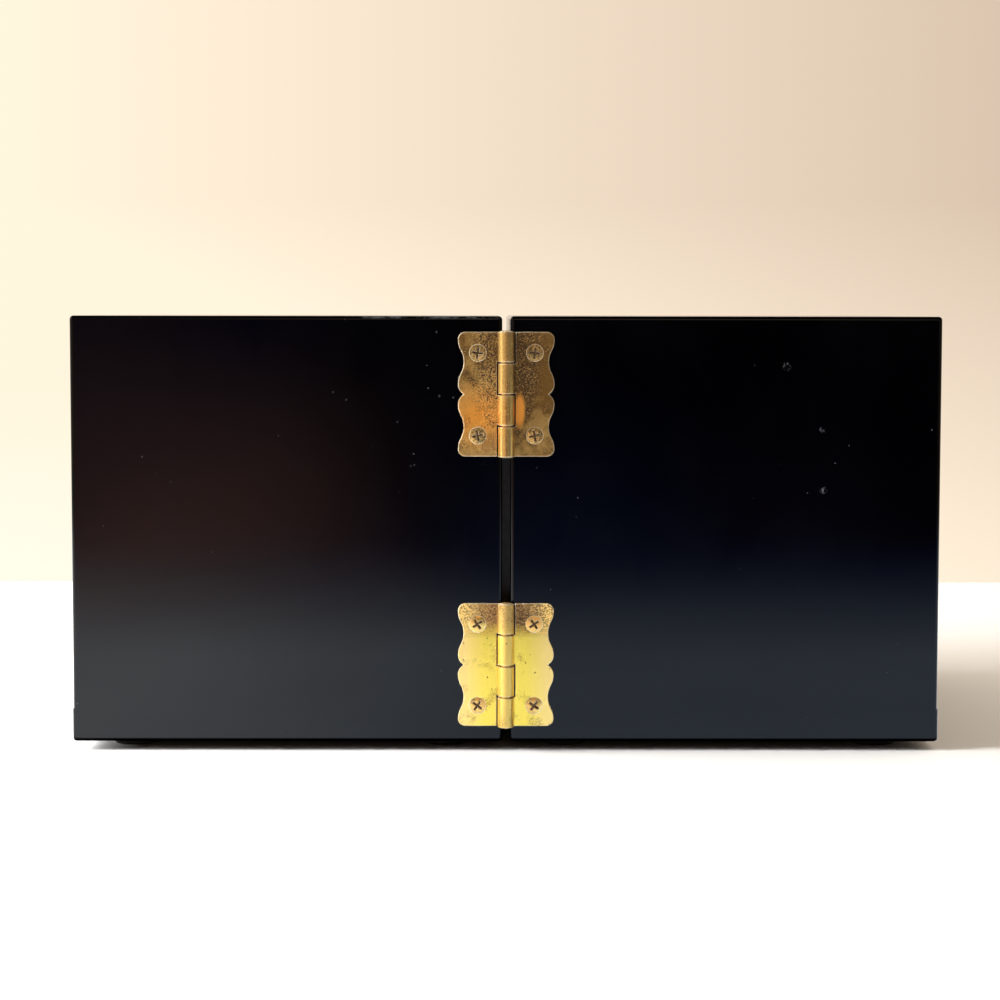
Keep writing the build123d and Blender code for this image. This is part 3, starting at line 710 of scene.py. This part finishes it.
for name in ("long_divider", "cross_dividers"):
    folded_velvet(name, card_fold)

# %% [markdown]
# ## Ring rolls
#
# Rings are pushed between eight soft rolls: foam cords wrapped in velvet, lying side by side across
# the top drawer. A real roll is not a rod. It swells a little between its neighbours, flattens where
# it lies, closes in a tuck at each end and carries a seam underneath. Each ring of points is bent
# from a circle in that way, with its own slow waves, and a subdivision surface smooths the whole.

# %% The room that one roll fills
roll_low, roll_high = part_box("ring_rolls")
roll_count, roll_pitch = 8, 14.4 * mm
roll_radius = (roll_high.z - roll_low.z) / 2
roll_middle_z = (roll_high.z + roll_low.z) / 2
print("rolls:", roll_count, "each", round(roll_radius * 2 / mm, 1), "mm thick")

# %% One ring of points round a roll
rings_along, points_round = 34, 20
tuck_length, tuck_share, tuck_bluntness = 4.5 * mm, 0.12, 2.6
slack, widening, clearance = 0.25 * mm, 1.04, 0.08 * mm
least_reach, swell_height = 0.5 * mm, 0.8 * mm
seam_height, seam_turn, seam_spread = 0.35 * mm, 1.32 * math.pi, 0.16


def ring_of_points(form, centre_x, y, waves):
    from_end = min(y - roll_low.y, roll_high.y - y)
    cap = math.sqrt(max(0.0, 1 - max(0.0, 1 - from_end / tuck_length) ** tuck_bluntness))
    ring = []
    for j in range(points_round):
        turn = 2 * math.pi * j / points_round
        swell = swell_height * sum(a * math.sin(y * f + p + turn) for f, p, a in waves)
        reach = max(least_reach, (roll_radius - slack + swell) * (tuck_share + (1 - tuck_share) * cap))
        seam = seam_height * math.exp(-((turn - seam_turn) / seam_spread) ** 2) * cap
        lying = max(roll_middle_z + reach * math.cos(turn), roll_low.z + clearance) + seam
        ring.append(form.verts.new((centre_x + reach * widening * math.sin(turn), y, lying)))
    return ring


print("points on one roll:", (rings_along + 1) * points_round)

# %% Eight padded rolls
chance = random.Random(14)
form = bmesh.new()
for number in range(roll_count):
    centre_x = roll_low.x + roll_radius + number * roll_pitch
    waves = [(chance.uniform(20, 75), chance.uniform(0, 6.28), chance.uniform(0.05, 0.14)) for _ in range(4)]
    rings = []
    for i in range(rings_along + 1):
        y = roll_low.y + (roll_high.y - roll_low.y) * (0.5 - 0.5 * math.cos(math.pi * i / rings_along))
        rings.append(ring_of_points(form, centre_x, y, waves))
    for first, second in zip(rings, rings[1:]):
        bridge_rings(form, first, second)
    form.faces.new(rings[0])
    form.faces.new(list(reversed(rings[-1])))
padded_rolls = soft_piece(form, "padded_ring_rolls", velvet_roll, "ring_rolls")
smoothing = padded_rolls.modifiers.new("smoothing", "SUBSURF")
smoothing.levels = smoothing.render_levels = 1

# %% [markdown]
# ## The table
#
# The box stands on a white table whose far edge is half a metre behind it. It is a plain board with
# rounded edges.

# %% White table
def scenery(name, form, finish):
    mesh = bpy.data.meshes.new(name)
    form.to_mesh(mesh)
    form.free()
    mesh.materials.append(finish.material)
    thing = bpy.data.objects.new(name, mesh)
    bpy.context.collection.objects.link(thing)
    return thing


table_low, table_high = Vector((-0.95, -0.52, -0.03)), Vector((0.95, 0.42, 0))
table_middle, table_size = (table_low + table_high) / 2, table_high - table_low
form = bmesh.new()
bmesh.ops.create_cube(form, size=1)
for vertex in form.verts:
    vertex.co = table_middle + Vector(a * b for a, b in zip(vertex.co, table_size))
bmesh.ops.bevel(form, geom=form.edges[:], offset=4 * mm, segments=4, affect="EDGES", profile=0.5)
table = scenery("table", form, Finish("table_white", {
    "Base Color": (0.86, 0.86, 0.86), "Roughness": 0.6, "IOR": 1.3}))
table.visible_glossy = False
print("table top:", [round(v, 2) for v in table.dimensions])

# %% [markdown]
# ## The wall
#
# The cream wall is far behind and out of the play of light on the table, so it simply glows: bright
# at the left and just above the table, dimmer towards the upper right, as in the photograph. It is
# a ring, to be there from every side. The half behind the box is mirrored in lacquer and glass. The
# half behind the camera is not, because there the room is dark.

# %% Cream wall in two halves
wall_radius, wall_columns, wall_heights = 3.0, 32, (-1.2, 0.0, 1.2, 2.4)
cream = Finish("wall_cream", {"Base Color": (0, 0, 0), "Specular IOR Level": 0, "Emission Strength": 1})
from_left = cream.x.ramp(0.95, -0.70)
above_table = cream.z.ramp(0.31, -0.28) * 0.77
glow = cream.mix((from_left + above_table).clamped(), (0.67, 0.52, 0.40), (1.08, 0.92, 0.73))
glare = from_left.ramp(0.7, 1.0) * cream.z.ramp(0.02, -0.25)
cream.feed({"Emission Color": cream.mix(glare, glow, (1.08, 1.0, 0.84))})


def half_wall(name, start):
    form = bmesh.new()
    columns = []
    for i in range(wall_columns + 1):
        turn = start + math.pi * i / wall_columns
        columns.append([form.verts.new((wall_radius * math.cos(turn), wall_radius * math.sin(turn), height))
                        for height in wall_heights])
    for first, second in zip(columns, columns[1:]):
        bridge(form, first, second)
    wall = scenery(name, form, cream)
    wall.visible_shadow = False
    return wall


half_wall("wall_behind_the_box", 0)
wall_behind_the_camera = half_wall("wall_behind_the_camera", math.pi)
wall_behind_the_camera.visible_glossy = False
wall_behind_the_camera.visible_diffuse = False
print("wall:", wall_radius, "m away and", round(wall_heights[-1] - wall_heights[0], 1), "m high")

# %% [markdown]
# ## What the polish mirrors
#
# A polished back is a mirror for whatever is in front of it, and here that matters more than its own
# colour. The near part of the white table shows as cool grey in the lower third, brighter on the
# left. Photographers steer such reflections with cards. These cards are seen by mirroring surfaces
# only: one lies in the table top, one stands in for the window.

# %% Cards for the reflections
def glowing(name):
    return Finish(name, {"Base Color": (0, 0, 0), "Specular IOR Level": 0, "Emission Strength": 1})


def card(name, corners, finish):
    form = bmesh.new()
    form.faces.new([form.verts.new(corner) for corner in corners])
    sheet = scenery(name, form, finish)
    sheet.visible_camera = sheet.visible_diffuse = sheet.visible_shadow = False
    print(name, "has its middle at", [round(sum(axis) / len(corners), 2) for axis in zip(*corners)])


# %% [markdown]
# ## The sheen of the table
#
# The card in the table stops at the box and fades round it, because a table is dark where a box
# shades it. Near the camera it fades too: there the lacquer mirrors the dim edge of the room, warm
# on the left and blue in the middle. Its right half is dimmer and cooler than the left.

# %% What the back mirrors of the table
table_sheen = glowing("table_sheen")
toward_camera = table_sheen.y.ramp(-0.72, -0.32)
beside_box = (table_sheen.x * table_sheen.x).ramp(0.145 ** 2, 0.165 ** 2)
outside_box = table_sheen.y.ramp(-93 * mm, -112 * mm).larger(beside_box).larger(
    table_sheen.y.ramp(95 * mm, 115 * mm))
cloudy = 0.90 + table_sheen.noise(9, 2).ramp(0.3, 0.7) * 0.20
lit = toward_camera * (0.4 + toward_camera * 0.6) * cloudy * outside_box
cool = table_sheen.mix(table_sheen.y.ramp(-0.05, 0.05), (1.05, 1.24, 1.50), (1.25, 1.25, 1.28))
colour = table_sheen.mix(table_sheen.x.ramp(0.01, -0.14), cool, (2.45, 2.48, 2.56))
unlit = table_sheen.mix(table_sheen.x.ramp(-0.01, -0.20), (0.03, 0.06, 0.28), (1.15, 0.72, 0.66))
unlit = table_sheen.mix(outside_box, (0, 0, 0), unlit)
table_sheen.feed({"Emission Color": table_sheen.mix(lit, unlit, colour)})
table_corners = ((-0.95, -0.75), (0.95, -0.75), (0.95, 0.42), (-0.95, 0.42))
card("table_card", [(x, y, -0.5 * mm) for x, y in table_corners], table_sheen)

# %% [markdown]
# ## The window in the polish
#
# The left side and the brass need something bright and upright to mirror. A tall card stands where
# the window is, brighter at the top than at the sill.

# %% What the left side mirrors of the window
window_sheen = glowing("window_sheen")
window_sheen.feed({"Emission Color": window_sheen.mix(
    window_sheen.z.ramp(0.12, 0.45), (0.9, 0.84, 0.70), (3.0, 2.95, 2.8))})
card("window_card", [(-1.05, -0.65, 0.0), (-1.20, 0.15, 0.0), (-1.20, 0.15, 0.85), (-1.05, -0.65, 0.85)],
     window_sheen)

# %% [markdown]
# ## Soft light from the left
#
# A window on the left gives the one clear direction: it brightens the left of the table and throws a
# short soft shadow to the right. A wide warm ceiling and a weak warm fill keep that shadow pale. The
# lamps themselves are not mirrored, the cards above do that more gently.

# %% Lamps
def softbox(name, place, aim, width, height, watts, colour):
    light = bpy.data.lights.new(name, "AREA")
    light.shape, light.size, light.size_y = "RECTANGLE", width, height
    light.energy, light.color = watts, colour
    lamp = bpy.data.objects.new(name, light)
    bpy.context.collection.objects.link(lamp)
    lamp.location = place
    lamp.rotation_euler = (Vector(aim) - Vector(place)).to_track_quat("-Z", "Y").to_euler()
    lamp.visible_glossy = False
    print(name, watts, "W,", round((Vector(aim) - Vector(place)).length, 2), "m from where it aims")


softbox("window", (-1.15, -0.25, 0.5), (0, 0, 0.03), 0.8, 0.7, 60, (1.0, 1.0, 1.0))
softbox("ceiling", (0, 0.2, 2.2), (0, 0, 0), 2.6, 2.6, 36, (1.0, 0.89, 0.73))
softbox("fill", (1.8, 0.5, 1.2), (0.1, 0, 0), 1.4, 1.4, 8, (1.0, 0.81, 0.61))

# %% [markdown]
# ## The dim room that the lacquer mirrors
#
# Above the reflection of the table the back mirrors the room in front of it: almost black, with a
# drift of brown on the left and a breath of blue in the middle. Each is a soft patch of light in one
# direction of the world, given by that direction, how far it reaches and its colour. The first
# colour is what is left everywhere else.

# %% Room
world = bpy.data.worlds.new("room")
bpy.context.scene.world = world
world.use_nodes = True
room = Shade(world.node_tree, "Generated")
drifts = (
    ((-0.130, -1, -0.112), 0.105, (1.75, 0.84, 0.72)),
    ((-0.080, -1, -0.065), 0.050, (0.42, 0.20, 0.14)),
    ((-0.100, -1, -0.010), 0.050, (0.00, 0.03, 0.16)),
    ((-0.175, -1, -0.025), 0.055, (0.35, 0.20, 0.28)),
    ((0.030, -1, -0.100), 0.080, (0.02, 0.10, 0.36)),
    ((0.120, -1, -0.100), 0.060, (0.10, 0.04, 0.12)),
    ((-0.600, -1, 0.000), 0.330, (1.10, 0.70, 0.32)),
    ((0.520, -1, 0.000), 0.280, (0.60, 0.40, 0.20)),
    ((1.000, -0.15, -0.03), 0.160, (0.90, 0.78, 0.50)),
    ((0.050, -1, 0.380), 0.360, (1.5, 1.05, 0.66)),
    ((0.900, 0.10, 0.300), 0.900, (0.45, 0.42, 0.38)))
light_of_room = (0.002, 0.002, 0.008)
for direction, reach, colour in drifts:
    patch = room.near(Vector(direction).normalized(), reach)
    light_of_room = room.together(light_of_room, room.mix(patch * (0.5 + patch * 0.5), (0, 0, 0), colour))
room.give(world.node_tree.nodes["Background"].inputs["Color"], light_of_room)
print("drifts of light:", len(drifts), "room nodes:", len(room.tree.nodes))

# %% [markdown]
# ## Closing
#
# The Standard view keeps whites white and blacks black, as a product photograph does.

# %% View
bpy.context.scene.view_settings.view_transform = "Standard"
bpy.context.scene.view_settings.look = "None"
